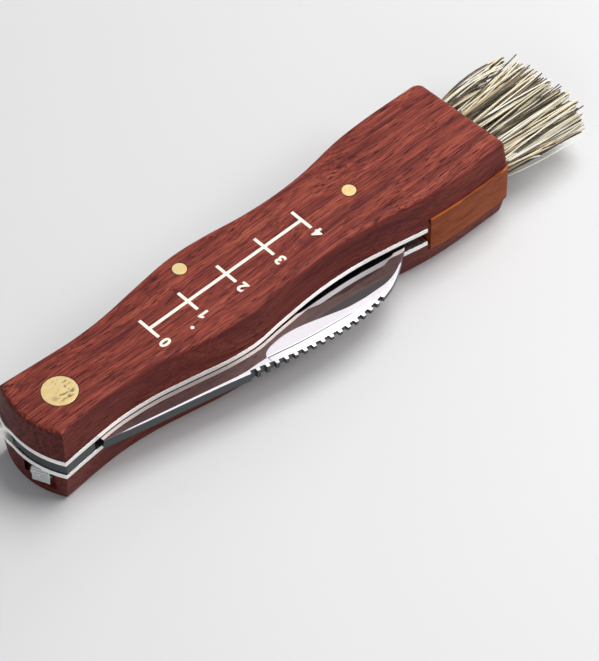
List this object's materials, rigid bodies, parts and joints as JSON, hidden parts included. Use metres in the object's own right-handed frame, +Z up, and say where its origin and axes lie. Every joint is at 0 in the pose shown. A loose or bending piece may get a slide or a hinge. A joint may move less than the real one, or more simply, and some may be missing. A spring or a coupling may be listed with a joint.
{
  "type": "folding mushroom knife",
  "caption": "Folding mushroom knife with waisted wooden scales on steel liners, a saw-backed curved blade and a bristle brush in the handle's end.",
  "frame": {"origin": "on the pivot axis at the flat underside", "axes": "+X along the handle from the pivot to the brush, -Y out of the blade slot's open side, +Z up through the thickness"},
  "size_m": [0.1384, 0.033, 0.0202],
  "materials": {
    "red_wood": "oiled red-brown hardwood, satin, fine straight grain along the handle",
    "light_wood": "lighter orange-brown hardwood, satin",
    "polished_steel": "bright polished stainless steel with fine grinding lines",
    "spring_steel": "brushed spring steel",
    "brass": "brushed pale brass with light tarnish",
    "bristle": "natural cream bristle, mixed pale and tan strands"
  },
  "bodies": {
    "handle": {"upper_scale": "red_wood", "lower_scale": "red_wood", "upper_liner": "polished_steel", "lower_liner": "polished_steel", "back_spacer": "spring_steel", "brush_block": "light_wood", "pivot_barrel": "spring_steel", "upper_rosette": "brass", "lower_rosette": "brass", "upper_washer": "brass", "lower_washer": "brass", "stop_pin": "spring_steel", "front_handle_pin": "brass", "rear_handle_pin": "brass", "leaf_shim": "spring_steel", "leaf_rivet_1": "spring_steel", "leaf_rivet_2": "spring_steel", "tuft_upper_1": "bristle", "tuft_upper_2": "bristle", "tuft_upper_3": "bristle", "tuft_upper_4": "bristle", "tuft_upper_5": "bristle", "tuft_upper_6": "bristle", "tuft_lower_1": "bristle", "tuft_lower_2": "bristle", "tuft_lower_3": "bristle", "tuft_lower_4": "bristle", "tuft_lower_5": "bristle", "tuft_lower_6": "bristle"},
    "blade": {"blade": "polished_steel"},
    "lock_leaf": {"lock_leaf": "spring_steel"}
  },
  "joints": [
    {"name": "blade_pivot", "type": "hinge", "parent": "handle", "child": "blade", "pos_m": [0, 0, 0.0101], "axis": [0, 0, -1], "range_deg": [0, 180]},
    {"name": "lock_leaf_flex", "type": "hinge", "parent": "handle", "child": "lock_leaf", "pos_m": [0.036, 0, 0.0059], "axis": [0, -1, 0], "range_deg": [0, 1.3]}
  ]
}
